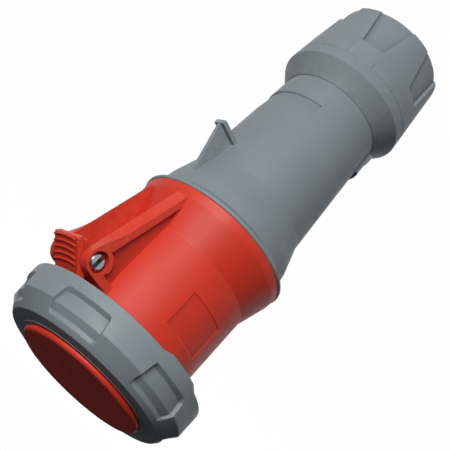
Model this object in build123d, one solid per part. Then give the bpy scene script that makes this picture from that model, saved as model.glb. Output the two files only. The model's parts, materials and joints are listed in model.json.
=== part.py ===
from build123d import *
import math
import os

# Hinged-lid power connector for five conductors and a pilot, standing on its gland nut.
# Millimetres. The axis is Z, the gland nut's rear face is Z 0, the lid faces +Z and the
# lid hinge lies on the +Y side.

# Clearances
running_fit = 0.1
loose_fit = 0.3
face_gap = 0.1

# How far a cutting tool reaches past a surface, and a joined piece into it
cut_over = 1.0
sink = 0.5

# Gland nut
nut_length = 55.4
nut_cone_length = 8.2
nut_line_z = 40.0
nut_edge_r = 40.4
nut_line_r = 39.0
nut_rear_r = 36.7
nut_bore_r = 20.0
nut_end_wall = 5.0
nut_chamfer = 1.6
nut_lip_depth = 9.2
nut_line_width = 0.6
nut_line_depth = 0.35
grip_count = 6
grip_length = 26.6
grip_front_width = 14.6
grip_rear_width = 25.0
grip_depth = 1.8
grip_turn = 50.4
tick_count = 14
tick_length = 4.2
tick_width = 0.6
tick_turn = 12.1

# Rear housing
handle_length = 84.1
handle_rear_r = 31.6
handle_front_r = 36.3
shoulder_length = 18.1
shoulder_r = 44.8
band_length = 11.9
band_r = 46.1
band_bevel = 0.9
band_groove_z = 3.6
band_groove_width = 1.0
band_groove_depth = 0.8
handle_line_z = 71.0
handle_line_width = 0.6
handle_line_depth = 0.15
rear_wall = 3.4
thread_r = 28.0
thread_rear_z = 14.0
gland_pocket_r = 24.3
gland_shoulder_z = 46.0
throat_r = 19.5
throat_length = 6.0
spigot_length = 9.0
spigot_r = 42.3
nose_wall = 2.8
seal_groove_from_joint = 3.0
seal_groove_width = 3.2
seal_groove_depth = 1.6
name_field_from_joint = 93.7
name_field_length = 14.7
name_field_arc = 81.0
name_field_depth = 0.7
name_field_direction = 90

# Raised pad on the handle, opposite the name field, higher towards the nut
pad_direction = 270
pad_arc = 91.0
pad_gap_to_nut = 1.2
pad_front_z = 75.2
pad_height = 2.0
pad_rear_height = 3.0
pad_slope_front_z = 67.3
pad_slope_rear_z = 62.6

# Fin on the rear housing
fin_tip_from_joint = 14.3
fin_apex_r = 50.3
fin_web = 2.6
fin_flange_width = 8.0
fin_flange_thickness = 2.2
fin_flange_from_joint = 42.1
fin_flange_lean = 1.5

# Gland inner pieces
pressure_ring_height = 3.0
cage_flange_height = 5.4
cage_finger_length = 11.0
cage_bore_r = 17.0
cage_slots = 8
cage_slot_width = 2.0
seal_bore_r = 16.5

# Front housing
flare_band_length = 6.2
flare_length = 17.9
flare_r = 46.6
collar_length = 70.4
collar_r = 40.1
collar_bore_r = 36.8
insert_seat_length = 20.5
insert_bore_r = 38.7
keyway_width = 8.0
keyway_depth = 1.9
keyway_length = 48.0
rating_field_from_flare = 16.6
rating_field_length = 21.9
rating_field_arc = 40.8
rating_field_depth = 0.5
rating_field_corner = 2.0

# Hinge ears on the front housing
pin_y = 53.1
pin_behind_ring = 13.8
ear_inner_x = 10.8
ear_outer_x = 17.0
ear_boss_r = 7.4
ear_top_front = 10.8
ear_top_front_y = 54.9
ear_top_rear_y = 43.2
ear_length = 60.6
ear_flange_front = 3.2
ear_flange_rear = 4.6
ear_web_recess = 2.6
ear_arm_foot_front = 5.9
ear_arm_width = 3.5
ear_arm_corner_y = 45.8
ear_blend_r = 24.0
ear_foot_share = 0.9
pin_head_recess_r = 5.7
pin_head_recess_depth = 3.2

# Hinge pin and closing spring
pin_r = 2.5
pin_head_r = 5.1
pin_head_thickness = 2.0
pin_slot_width = 1.3
pin_slot_depth = 0.9
pin_slot_turn = 9.5
lug_bevel = 1.2
bayonet_sides = (0, 180)
spring_wire_r = 0.45
spring_mean_r = 3.35
spring_turns = 3
spring_pitch = 1.1
spring_tab_leg = 10.6

# Lock ring
ring_overlap = 14.0
ring_length = 23.0
ring_r = 57.1
ring_cone_length = 6.8
ring_cone_width = 8.3
ring_wall = 4.6
ring_lip = 4.0
ring_lip_overlap = 1.7
ring_face_step_r = 41.5
ring_face_step = 0.4
ring_inner_cone_length = 2.7
pocket_count = 6
pocket_width = 30.5
pocket_length = 15.0
pocket_from_rear = 6.6
pocket_depth = 2.3
pocket_draft = 28.0
pocket_cone_share = 0.4
lobe_height = 2.0
lobe_arc = 31.0
lobe_top_arc = 23.0

# Bayonet between the lock ring and the front housing
lug_arc = 14.0
lug_r = 47.5
lug_behind_mouth = 4.4
lug_thickness = 5.0
cam_bore_r = 44.2
cam_thickness = 3.4
cam_gap_arc = 6.0
cam_arc = 37.0
cam_lead = 1.6
cam_lead_length = 7.0
lug_cam_gap = 0.6

# Lid
lid_r = 38.2
lid_rim_height = 3.4
lid_rim_round = 2.2
lid_flange_r = 46.0
lid_flange_bevel = 1.2
lid_above_mouth = 0.6
lid_hollow_r = 33.0
lid_plate = 3.6
lid_seal_bore_r = 36.9
lid_seal_r = 40.6
lid_seal_depth = 1.6
tab_width = 18.4
tab_thickness = 4.9
tab_top_y = 68.8
tab_foot_y = 54.0
tab_foot_behind_ring = 3.0
tab_lean = 37.1
tab_top_round = 1.6
tongue_inner_y = 42.0
tongue_thickness = 3.6
tongue_below_flange = 2.0
barrel_r = 5.2
barrel_right_x = 4.6
rib_count = 5
rib_pitch = 2.43
rib_from_top = 2.0
rib_width = 1.0
rib_height = 0.6
rib_half_length = 7.8
rib_rise = 1.3

# Contact insert and contacts
tower_r = 30.5
tower_below_mouth = 4.5
tower_length = 47.5
insert_flange = 4.0
tower_face = 4.0
tower_wall = 2.8
pin_circle_r = 18.2
phase_pin_r = 4.0
earth_pin_r = 5.0
pilot_pin_r = 3.0
sleeve_wall = 2.2
pin_hole_clearance = 0.4
chamber_clearance = 1.0
sleeve_length = 47.0
sleeve_slot = 1.0
sleeve_slot_length = 26.0
sleeve_slot_turns = (45, 135)
contact_collar = 4.0
terminal_length = 28.0
wire_hole_wall = 2.0
wire_hole_depth = 20.0
terminal_screw_r = 2.4
terminal_screw_length = 5.0
terminal_screw_from_end = 9.0
pilot_screw_r = 1.6
spring_ring_wall = 0.7
spring_ring_height = 3.0
spring_ring_from_mouth = 3.0
spring_ring_gap = 1.6
cover_thickness = 4.1
cover_r = 34.8
cover_screw_r = 2.0
cover_screw_head_r = 3.2
screw_slot_width = 1.0
screw_slot_depth = 0.8
cover_screw_head = 2.2
cover_screw_length = 12.0
cover_screw_circle_r = 31.4
cover_screw_count = 3

# Stations along the axis
nut_edge_z = nut_length - nut_cone_length
handle_front_z = nut_length + handle_length
shoulder_z = handle_front_z + shoulder_length
joint_z = shoulder_z + band_length
flare_rear_z = joint_z + flare_band_length
flare_front_z = flare_rear_z + flare_length
mouth_z = flare_front_z + collar_length
ring_rear_z = mouth_z - ring_overlap
ring_front_z = ring_rear_z + ring_length
ring_cone_z = ring_front_z - ring_cone_length
ring_face_r = ring_r - ring_cone_width
pin_z = ring_rear_z - pin_behind_ring
insert_seat_z = joint_z + insert_seat_length
insert_rear_z = insert_seat_z - insert_flange
cover_rear_z = insert_rear_z - cover_thickness
tower_front_z = mouth_z - tower_below_mouth
tower_rear_z = tower_front_z - tower_length
nut_shoulder_z = nut_length - nut_lip_depth
nut_front_r = handle_rear_r + loose_fit
lid_flange_rear_z = mouth_z + lid_above_mouth
lid_flange_front_z = ring_front_z - ring_lip - face_gap
lid_rim_z = ring_front_z + face_gap
lid_front_z = lid_rim_z + lid_rim_height
lid_neck_r = lid_r - ring_lip_overlap


def spun(outline):
    """A solid of revolution about Z from a closed (radius, z) outline."""
    face = make_face(Plane.XZ * Polyline(*outline, close=True))
    return revolve(face, axis=Axis.Z)


def arc_of(outline, arc, middle):
    """Part of a turn about Z, arc degrees long, centred on the direction middle."""
    face = make_face(Plane.XZ * Polyline(*outline, close=True))
    piece = revolve(face, axis=Axis.Z, revolution_arc=arc)
    return Rot(0, 0, middle - arc / 2) * piece


def slab(outline, x_low, x_high):
    """A plate with a closed (y, z) outline between two X planes."""
    face = make_face(Plane.YZ.offset(x_low) * Polyline(*outline, close=True))
    return extrude(face, amount=x_high - x_low, dir=(1, 0, 0))


def rod_z(radius, z_low, z_high, x=0.0, y=0.0):
    """A round rod along Z."""
    return Pos(x, y, z_low) * Cylinder(
        radius, z_high - z_low, align=(Align.CENTER, Align.CENTER, Align.MIN)
    )


def rod_x(radius, x_low, x_high):
    """A round rod along X on the hinge pin's line."""
    face = Plane.YZ.offset(x_low) * Pos(pin_y, pin_z) * Circle(radius)
    return extrude(face, amount=x_high - x_low, dir=(1, 0, 0))


def block(x_range, y_range, z_range):
    """A box between two corners."""
    size = [high - low for low, high in (x_range, y_range, z_range)]
    return Pos(x_range[0], y_range[0], z_range[0]) * Box(*size, align=(Align.MIN,) * 3)


def around(piece, count, turn=0.0):
    """Copies of one piece spaced evenly about Z."""
    return [Rot(0, 0, turn + 360 * i / count) * piece for i in range(count)]


def save(name, piece):
    """Write one sub-part; a single solid is unwrapped first."""
    solids = piece.solids()
    result = solids[0] if len(solids) == 1 else Compound(children=list(solids))
    result.label = name
    export_step(result, f"parts/{name}.step")


# Gland nut
def gland_nut():
    outline = [
        (nut_bore_r, 0),
        (nut_rear_r - nut_chamfer, 0),
        (nut_rear_r, nut_chamfer),
        (nut_line_r, nut_line_z - nut_line_width / 2),
        (nut_line_r - nut_line_depth, nut_line_z),
        (nut_line_r, nut_line_z + nut_line_width / 2),
        (nut_edge_r, nut_edge_z),
        (nut_front_r, nut_length),
        (nut_front_r, nut_shoulder_z),
        (thread_r + running_fit, nut_shoulder_z),
        (thread_r + running_fit, nut_end_wall),
        (nut_bore_r, nut_end_wall),
    ]
    nut = spun(outline)
    taper = (nut_line_r - nut_rear_r) / nut_line_z
    floor_rear = nut_rear_r - grip_depth
    floor_front = floor_rear + taper * grip_length
    over = nut_edge_r + cut_over
    shell = spun(
        [
            (floor_rear, -cut_over),
            (over, -cut_over),
            (over, grip_length),
            (floor_front, grip_length),
        ]
    )
    trapezoid = Polyline(
        (-grip_rear_width / 2, 0),
        (grip_rear_width / 2, 0),
        (grip_front_width / 2, grip_length),
        (-grip_front_width / 2, grip_length),
        close=True,
    )
    key = extrude(make_face(Plane.YZ * trapezoid), amount=over, dir=(1, 0, 0))
    grip = key & shell
    nut -= around(grip, grip_count, grip_turn)
    tick_floor = nut_line_r - nut_line_depth
    tick = block(
        (tick_floor, nut_line_r + cut_over),
        (-tick_width / 2, tick_width / 2),
        (nut_line_z - tick_length, nut_line_z),
    )
    lean = math.degrees(math.atan(taper))
    tick = Pos(tick_floor, 0, nut_line_z) * Rot(0, lean, 0) * Pos(-tick_floor, 0, -nut_line_z) * tick
    nut -= around(tick, tick_count, tick_turn)
    return nut


def pressure_ring():
    outer = thread_r - loose_fit
    inner = nut_bore_r + loose_fit
    top = nut_end_wall + pressure_ring_height
    return spun([(inner, nut_end_wall), (outer, nut_end_wall), (outer, top), (inner, top)])


cage_rear_z = nut_end_wall + pressure_ring_height
cage_step_z = cage_rear_z + cage_flange_height
cage_front_z = cage_step_z + cage_finger_length


def clamp_cage():
    flange_r = thread_r - 2 * loose_fit
    finger_r = gland_pocket_r - loose_fit
    cage = spun(
        [
            (cage_bore_r, cage_rear_z),
            (flange_r, cage_rear_z),
            (flange_r, cage_step_z),
            (finger_r, cage_step_z),
            (finger_r, cage_front_z),
            (cage_bore_r, cage_front_z),
        ]
    )
    slot = block(
        (cage_bore_r - cut_over, finger_r + cut_over),
        (-cage_slot_width / 2, cage_slot_width / 2),
        (cage_step_z, cage_front_z + cut_over),
    )
    return cage - around(slot, cage_slots)


def gland_seal():
    low = cage_front_z + face_gap
    high = gland_shoulder_z - face_gap
    outer = gland_pocket_r - loose_fit
    return spun([(seal_bore_r, low), (outer, low), (outer, high), (seal_bore_r, high)])


# Rear housing with its handle, fin and thread
def handle_r(z):
    return handle_rear_r + (handle_front_r - handle_rear_r) * (z - nut_length) / handle_length


def shoulder_line_r(z):
    return handle_front_r + (shoulder_r - handle_front_r) * (z - handle_front_z) / shoulder_length


nose_r = insert_bore_r - loose_fit
nose_bore_r = nose_r - nose_wall
spigot_front_z = joint_z + spigot_length
seal_groove_low = joint_z + seal_groove_from_joint
seal_groove_high = seal_groove_low + seal_groove_width
seal_groove_r = spigot_r - seal_groove_depth


def rear_housing():
    groove_z = joint_z - band_groove_z
    band_rear_r = band_r - band_groove_depth / 4
    shoulder_low_z = nut_shoulder_z + loose_fit
    throat_top = gland_shoulder_z + throat_length
    inner_rear = handle_r(nut_length) - rear_wall
    line_low_z = handle_line_z - handle_line_width / 2
    line_high_z = handle_line_z + handle_line_width / 2
    outline = [
        (gland_pocket_r, thread_rear_z),
        (thread_r, thread_rear_z),
        (thread_r, shoulder_low_z),
        (handle_rear_r, shoulder_low_z),
        (handle_rear_r, nut_length),
        (handle_r(line_low_z), line_low_z),
        (handle_r(handle_line_z) - handle_line_depth, handle_line_z),
        (handle_r(line_high_z), line_high_z),
        (handle_front_r, handle_front_z),
        (shoulder_r, shoulder_z),
        (band_rear_r, groove_z - band_groove_width / 2),
        (band_r - band_groove_depth, groove_z - band_groove_width / 2),
        (band_r - band_groove_depth, groove_z + band_groove_width / 2),
        (band_r, groove_z + band_groove_width / 2),
        (band_r, joint_z - band_bevel),
        (band_r - band_bevel, joint_z),
        (spigot_r, joint_z),
        (spigot_r, seal_groove_low),
        (seal_groove_r, seal_groove_low),
        (seal_groove_r, seal_groove_high),
        (spigot_r, seal_groove_high),
        (spigot_r, spigot_front_z),
        (nose_r, spigot_front_z),
        (nose_r, insert_rear_z),
        (nose_bore_r, insert_rear_z),
        (nose_bore_r, joint_z),
        (shoulder_r - rear_wall, joint_z - rear_wall),
        (shoulder_r - rear_wall, shoulder_z),
        (handle_front_r - rear_wall, handle_front_z),
        (inner_rear, throat_top + rear_wall * 2),
        (throat_r, throat_top),
        (throat_r, gland_shoulder_z),
        (gland_pocket_r, gland_shoulder_z),
    ]
    housing = spun(outline)
    # Shallow bare field for a name, deepest at its rear edge
    field_rear = joint_z - name_field_from_joint
    field_front = field_rear + name_field_length
    field = arc_of(
        [
            (handle_r(field_rear) - name_field_depth, field_rear),
            (handle_r(field_rear) + cut_over, field_rear),
            (handle_r(field_front) + cut_over, field_front),
            (handle_r(field_front), field_front),
        ],
        name_field_arc,
        name_field_direction,
    )
    housing -= field
    # Raised pad in front of the nut
    pad_rear_z = nut_length + pad_gap_to_nut
    housing += arc_of(
        [
            (handle_r(pad_rear_z) - sink, pad_rear_z),
            (handle_r(pad_rear_z) + pad_rear_height, pad_rear_z),
            (handle_r(pad_slope_rear_z) + pad_rear_height, pad_slope_rear_z),
            (handle_r(pad_slope_front_z) + pad_height, pad_slope_front_z),
            (handle_r(pad_front_z) + pad_height, pad_front_z),
            (handle_r(pad_front_z) - sink, pad_front_z),
        ],
        pad_arc,
        pad_direction,
    )
    # Fin: a web with a cross plate at its rear end
    tip_z = joint_z - fin_tip_from_joint
    plate_z = joint_z - fin_flange_from_joint
    root_y = handle_front_r - rear_wall / 2
    web = slab(
        [
            (root_y, handle_front_z),
            (shoulder_line_r(tip_z) - rear_wall / 2, tip_z),
            (shoulder_line_r(tip_z), tip_z),
            (fin_apex_r, plate_z - fin_flange_lean - fin_flange_thickness / 2),
            (root_y, plate_z - fin_flange_thickness / 2),
        ],
        -fin_web / 2,
        fin_web / 2,
    )
    plate = slab(
        [
            (root_y, plate_z),
            (fin_apex_r, plate_z - fin_flange_lean),
            (fin_apex_r, plate_z - fin_flange_lean - fin_flange_thickness),
            (root_y, plate_z - fin_flange_thickness),
        ],
        -fin_flange_width / 2,
        fin_flange_width / 2,
    )
    return housing + web + plate


def housing_seal():
    outer = spigot_r + loose_fit
    return spun(
        [
            (seal_groove_r, seal_groove_low),
            (outer, seal_groove_low),
            (outer, seal_groove_high),
            (seal_groove_r, seal_groove_high),
        ]
    )


# Outside of the front housing's wall, as (radius, z)
wall_outline = [
    (flare_r, joint_z),
    (flare_r, flare_rear_z),
    (collar_r, flare_front_z),
    (collar_r, mouth_z),
]


# Hinge ears, which stand on the front housing's wall
def ear(x_low, x_high, recess_low, recess_high):
    """One ear: boss, slanted top flange blended into it, short front arm, thin web."""
    foot_y = collar_bore_r * ear_foot_share
    rear_z = pin_z - ear_length
    arm_z = pin_z + ear_arm_foot_front
    slope = (ear_top_front_y - ear_top_rear_y) / (ear_length - ear_top_front)
    top_end = (ear_top_front_y + slope * ear_top_front, pin_z)
    plate = make_face(
        Polyline(
            (foot_y, rear_z),
            (ear_top_rear_y, rear_z),
            top_end,
            (pin_y, pin_z + ear_boss_r),
            (foot_y, arm_z),
            close=True,
        )
    )
    plate += Pos(pin_y, pin_z) * Circle(ear_boss_r)
    crossing = plate.vertices().sort_by_distance((ear_top_front_y, pin_z - ear_top_front, 0))[0]
    plate = fillet(crossing, ear_blend_r)
    body = extrude(Plane.YZ.offset(x_low) * plate, amount=x_high - x_low, dir=(1, 0, 0))
    arm_inner_z = arm_z - ear_arm_width
    recess = slab(
        [
            (ear_top_front_y - ear_flange_front, pin_z - ear_top_front),
            (ear_arm_corner_y, arm_inner_z),
            (foot_y - cut_over, arm_inner_z),
            (foot_y - cut_over, rear_z - cut_over),
            (ear_top_rear_y - ear_flange_rear, rear_z - cut_over),
        ],
        recess_low,
        recess_high,
    )
    body -= recess - rod_x(ear_boss_r, x_low - cut_over, x_high + cut_over)
    return body - spun([(0, joint_z), *wall_outline, (0, mouth_z)])


def ear_right():
    low, high = ear_inner_x, ear_outer_x
    piece = ear(low, high, high - ear_web_recess, high + cut_over)
    piece -= rod_x(pin_r, low - cut_over, high + cut_over)
    return piece - rod_x(pin_head_recess_r, high - pin_head_recess_depth, high + cut_over)


def ear_left():
    low, high = -ear_outer_x, -ear_inner_x
    piece = ear(low, high, low - cut_over, low + ear_web_recess)
    return piece - rod_x(pin_r, low - cut_over, high + cut_over)


# Front housing: a wide flare at the joint, and a collar with bayonet lugs, a keyway and
# a bare rating field
def front_wall():
    """The whole round wall, which housing_flare and front_housing share out."""
    inside = [
        (collar_bore_r, mouth_z),
        (collar_bore_r, insert_seat_z),
        (insert_bore_r, insert_seat_z),
        (insert_bore_r, spigot_front_z + loose_fit),
        (spigot_r + loose_fit, spigot_front_z + loose_fit),
        (spigot_r + loose_fit, joint_z),
    ]
    return spun(wall_outline + inside)


def housing_flare():
    return front_wall() - rod_z(flare_r + cut_over, flare_front_z, mouth_z + cut_over)


def front_housing():
    housing = front_wall() - rod_z(flare_r + cut_over, joint_z - cut_over, flare_front_z)
    lug_front = mouth_z - lug_behind_mouth
    lug_rear = lug_front - lug_thickness
    lug = [
        (collar_r - sink, lug_rear),
        (lug_r, lug_rear),
        (lug_r, lug_front - lug_bevel),
        (lug_r - lug_bevel, lug_front),
        (collar_r - sink, lug_front),
    ]
    for middle in bayonet_sides:
        housing += arc_of(lug, lug_arc, middle)
    # Keyway on the side away from the hinge
    housing -= block(
        (-keyway_width / 2, keyway_width / 2),
        (-collar_bore_r - keyway_depth, cut_over - collar_bore_r + keyway_depth),
        (mouth_z - keyway_length, mouth_z + cut_over),
    )
    # Shallow field with rounded corners on the side
    low = flare_front_z + rating_field_from_flare
    high = low + rating_field_length
    half_width = collar_r * math.sin(math.radians(rating_field_arc / 2))
    outline = Plane.YZ * Pos(0, (low + high) / 2) * RectangleRounded(
        2 * half_width, rating_field_length, rating_field_corner
    )
    window = extrude(outline, amount=collar_r + cut_over, dir=(1, 0, 0))
    floor_r = collar_r - rating_field_depth
    shell = spun(
        [
            (floor_r, low - cut_over),
            (collar_r + cut_over, low - cut_over),
            (collar_r + cut_over, high + cut_over),
            (floor_r, high + cut_over),
        ]
    )
    return housing - (window & shell)


def hinge_pin():
    head_low = ear_outer_x - pin_head_recess_depth
    pin = rod_x(pin_r, -ear_outer_x, head_low + sink)
    head = rod_x(pin_head_r, head_low, head_low + pin_head_thickness)
    slot = Pos(head_low + pin_head_thickness, pin_y, pin_z) * Rot(pin_slot_turn, 0, 0)
    slot *= Box(2 * pin_slot_depth, pin_slot_width, 4 * pin_head_r)
    return pin + (head - slot)


def lid_spring():
    """Closing spring: a coil round the pin, one leg to the collar, one behind the tab."""
    start_x = barrel_right_x + loose_fit + spring_wire_r
    height = spring_turns * spring_pitch
    coil = Helix(pitch=spring_pitch, height=height, radius=spring_mean_r)
    collar_reach = pin_y - collar_r - loose_fit
    first_leg = Line((spring_mean_r, -collar_reach, 0), coil @ 0)
    last_leg = Line(coil @ 1, (spring_mean_r, spring_tab_leg, height))
    path = Wire([*first_leg.edges(), *coil.edges(), *last_leg.edges()])
    section = Plane(origin=path @ 0, z_dir=path % 0) * Circle(spring_wire_r)
    wire = sweep(section, path=path, transition=Transition.TRANSFORMED)
    return Plane(origin=(start_x, pin_y, pin_z), x_dir=(0, 0, -1), z_dir=(1, 0, 0)) * wire


# Lock ring with grip pockets and bayonet cams
def lock_ring():
    cone_slope = ring_cone_width / ring_cone_length
    inner_r = ring_r - ring_wall
    inner_cone_z = ring_cone_z - ring_inner_cone_length
    lip_rear_z = ring_front_z - ring_lip
    inner_face_r = inner_r - cone_slope * (lip_rear_z - inner_cone_z)
    bore_r = lid_neck_r + running_fit
    lobe_z = ring_rear_z - lobe_height
    ring = spun(
        [
            (inner_r, lobe_z),
            (ring_r, lobe_z),
            (ring_r, ring_cone_z),
            (ring_face_r, ring_front_z),
            (ring_face_step_r, ring_front_z),
            (ring_face_step_r, ring_front_z - ring_face_step),
            (bore_r, ring_front_z - ring_face_step),
            (bore_r, lip_rear_z),
            (inner_face_r, lip_rear_z),
            (inner_r, inner_cone_z),
        ]
    )
    # Cut the rear edge back, apart from a low lobe with sloping ends on each side
    lobe_half = ring_r * math.sin(math.radians(lobe_arc / 2))
    top_half = ring_r * math.sin(math.radians(lobe_top_arc / 2))
    over = ring_r + cut_over
    for way in (-1, 1):
        ring -= slab(
            [
                (way * top_half, lobe_z - cut_over),
                (way * top_half, lobe_z),
                (way * lobe_half, ring_rear_z),
                (way * over, ring_rear_z),
                (way * over, lobe_z - cut_over),
            ],
            -over,
            over,
        )
    # Grip pockets with sloping walls
    floor_r = ring_r - pocket_depth
    drop = pocket_depth * pocket_cone_share
    floor = spun(
        [
            (0, ring_rear_z),
            (floor_r, ring_rear_z),
            (floor_r, ring_cone_z - drop),
            (ring_face_r - pocket_depth, ring_front_z - drop),
            (0, ring_front_z - drop),
        ]
    )
    middle_z = ring_rear_z + pocket_from_rear + pocket_length / 2
    mouth = Plane(origin=(ring_r + cut_over, 0, middle_z), x_dir=(0, 1, 0), z_dir=(-1, 0, 0))
    reach = cut_over + ring_cone_width + pocket_depth
    wedge = extrude(mouth * Rectangle(pocket_width, pocket_length), amount=reach, taper=pocket_draft)
    ring -= around(wedge - floor, pocket_count)
    # Bayonet cams behind the lugs, clear of them in the open position, with a lead-in
    cam_top = mouth_z - lug_behind_mouth - lug_thickness - lug_cam_gap
    cam_low = cam_top - cam_thickness
    wall_r = inner_r + sink
    cam = arc_of([(cam_bore_r, cam_low), (wall_r, cam_low), (wall_r, cam_top), (cam_bore_r, cam_top)], cam_arc, cam_arc / 2)
    cam -= slab(
        [
            (-cut_over, cam_top - cam_lead),
            (0, cam_top - cam_lead),
            (cam_lead_length, cam_top),
            (cam_lead_length, cam_top + cut_over),
            (-cut_over, cam_top + cut_over),
        ],
        cam_bore_r - cut_over,
        wall_r + cut_over,
    )
    start = lug_arc / 2 + cam_gap_arc
    for side in bayonet_sides:
        ring += Rot(0, 0, side + start) * cam
    return ring


# Lid with its rim, tongue, ribbed thumb tab and hinge barrel
def lid():
    plate_z = lid_front_z - lid_plate
    disc = Polyline(
        (0, plate_z),
        (lid_hollow_r, plate_z),
        (lid_hollow_r, lid_flange_rear_z),
        (lid_seal_bore_r, lid_flange_rear_z),
        (lid_seal_bore_r, lid_flange_rear_z + lid_seal_depth),
        (lid_seal_r, lid_flange_rear_z + lid_seal_depth),
        (lid_seal_r, lid_flange_rear_z),
        (lid_flange_r, lid_flange_rear_z),
        (lid_flange_r, lid_flange_front_z - lid_flange_bevel),
        (lid_flange_r - lid_flange_bevel, lid_flange_front_z),
        (lid_neck_r, lid_flange_front_z),
        (lid_neck_r, lid_rim_z),
        (lid_r, lid_rim_z),
        (lid_r, lid_front_z),
        (0, lid_front_z),
        close=True,
    )
    face = make_face(disc)
    rim = face.vertices().sort_by_distance((lid_r, lid_front_z, 0))[0]
    face = fillet(rim, lid_rim_round)
    body = revolve(Plane.XZ * face, axis=Axis.Z)
    lean = math.radians(tab_lean)
    along_y, along_z = math.cos(lean), -math.sin(lean)
    out_y, out_z = math.sin(lean), math.cos(lean)
    foot_z = ring_rear_z - tab_foot_behind_ring
    slope = along_z / along_y
    tongue_outer_y = tongue_inner_y + tongue_thickness
    top_z = foot_z + (tab_top_y - tab_foot_y) * slope
    back_y = tab_top_y - tab_thickness * out_y
    back_z = top_z - tab_thickness * out_z
    half = tab_width / 2
    tab = slab(
        [
            (tongue_outer_y, lid_flange_front_z - tongue_below_flange),
            (tongue_outer_y, foot_z + (tongue_outer_y - tab_foot_y) * slope),
            (tab_top_y, top_z),
            (back_y, back_z),
            (tongue_inner_y, back_z + (tongue_inner_y - back_y) * slope),
            (tongue_inner_y, lid_flange_front_z - tongue_below_flange),
        ],
        -half,
        half,
    )
    top_edges = tab.edges().filter_by(Axis.X).sort_by(Axis.Y)[-2:]
    tab = fillet(top_edges, tab_top_round)
    body += tab
    barrel_left_x = -ear_inner_x + loose_fit
    body += rod_x(barrel_r, barrel_left_x, barrel_right_x)
    reach = tab_thickness
    neck = slab(
        [
            (pin_y - barrel_r * along_y, pin_z - barrel_r * along_z),
            (pin_y + barrel_r * along_y, pin_z + barrel_r * along_z),
            (pin_y + barrel_r * along_y + reach * out_y, pin_z + barrel_r * along_z + reach * out_z),
            (pin_y - barrel_r * along_y + reach * out_y, pin_z - barrel_r * along_z + reach * out_z),
        ],
        -half,
        barrel_right_x,
    )
    body += neck
    body -= rod_x(pin_r + running_fit, -ear_outer_x, ear_outer_x)
    # Arched ribs across the tab's front face
    rib_plane = Plane(origin=(0, tab_top_y, top_z), x_dir=(1, 0, 0), z_dir=(0, out_y, out_z))
    rib_r = (rib_half_length**2 + rib_rise**2) / (2 * rib_rise)
    for i in range(rib_count):
        crest = -rib_from_top - i * rib_pitch
        band = Pos(0, crest - rib_r) * (Circle(rib_r) - Circle(rib_r - rib_width))
        window = Pos(0, crest - rib_rise) * Rectangle(2 * rib_half_length, 4 * rib_rise)
        rib = extrude(rib_plane * (band & window), amount=rib_height + sink)
        body += Pos(0, -sink * out_y, -sink * out_z) * rib
    return body


def lid_seal():
    low, high = mouth_z, lid_flange_rear_z + lid_seal_depth
    return spun([(lid_seal_bore_r, low), (lid_seal_r, low), (lid_seal_r, high), (lid_seal_bore_r, high)])


# Contacts: name, pin radius, place on the pin circle
earth_direction = 270
phase_step = 72
contacts = {
    "contact_l1": (phase_pin_r, earth_direction + phase_step),
    "contact_l2": (phase_pin_r, earth_direction + 2 * phase_step),
    "contact_l3": (phase_pin_r, earth_direction + 3 * phase_step),
    "contact_neutral": (phase_pin_r, earth_direction + 4 * phase_step),
    "contact_earth": (earth_pin_r, earth_direction),
}
sleeve_front_z = tower_front_z - tower_face
sleeve_rear_z = sleeve_front_z - sleeve_length
terminal_rear_z = insert_rear_z - terminal_length


def at_contact(direction):
    angle = math.radians(direction)
    return pin_circle_r * math.cos(angle), pin_circle_r * math.sin(angle)


def sleeve_r(pin):
    return pin + sleeve_wall


def chamber_r(pin):
    return sleeve_r(pin) + chamber_clearance


contact_places = [(pin, *at_contact(direction)) for pin, direction in contacts.values()]
contact_places.append((pilot_pin_r, 0, 0))
tower_bore_r = tower_r - tower_wall


def contact_insert():
    """The insulating carrier: a flange in the housing's bore and a hollow tower."""
    insert = spun(
        [
            (tower_bore_r, insert_rear_z),
            (insert_bore_r - loose_fit, insert_rear_z),
            (insert_bore_r - loose_fit, insert_seat_z),
            (collar_bore_r - loose_fit, insert_seat_z),
            (collar_bore_r - loose_fit, tower_rear_z),
            (tower_r, tower_rear_z),
            (tower_r, sleeve_front_z),
            (tower_bore_r, sleeve_front_z),
        ]
    )
    for x, y in cover_screw_places():
        insert -= rod_z(cover_screw_r, insert_rear_z - cut_over, insert_rear_z + cover_screw_length, x, y)
    return insert


def insert_face():
    """The tower's front plate, with one finger-safe hole for each contact."""
    face = rod_z(tower_r, sleeve_front_z, tower_front_z)
    for pin, x, y in contact_places:
        face -= rod_z(pin + pin_hole_clearance, sleeve_front_z - cut_over, tower_front_z + cut_over, x, y)
    return face


def chamber_block():
    """The tower's core, with one chamber for each contact."""
    core = rod_z(tower_bore_r - running_fit, insert_rear_z, sleeve_front_z)
    for pin, x, y in contact_places:
        core -= rod_z(chamber_r(pin), insert_rear_z - cut_over, sleeve_front_z + cut_over, x, y)
    return core


def cover_screw_places():
    turn = earth_direction + phase_step / 2
    angles = [math.radians(turn + 2 * phase_step * step) for step in range(cover_screw_count)]
    return [(cover_screw_circle_r * math.cos(a), cover_screw_circle_r * math.sin(a)) for a in angles]


def insert_cover():
    cover = rod_z(cover_r, cover_rear_z, insert_rear_z)
    low, high = cover_rear_z - cut_over, insert_rear_z + cut_over
    for pin, x, y in contact_places:
        cover -= rod_z(sleeve_r(pin) + loose_fit, low, high, x, y)
    for x, y in cover_screw_places():
        cover -= rod_z(cover_screw_r + loose_fit, low, high, x, y)
    return cover


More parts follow.
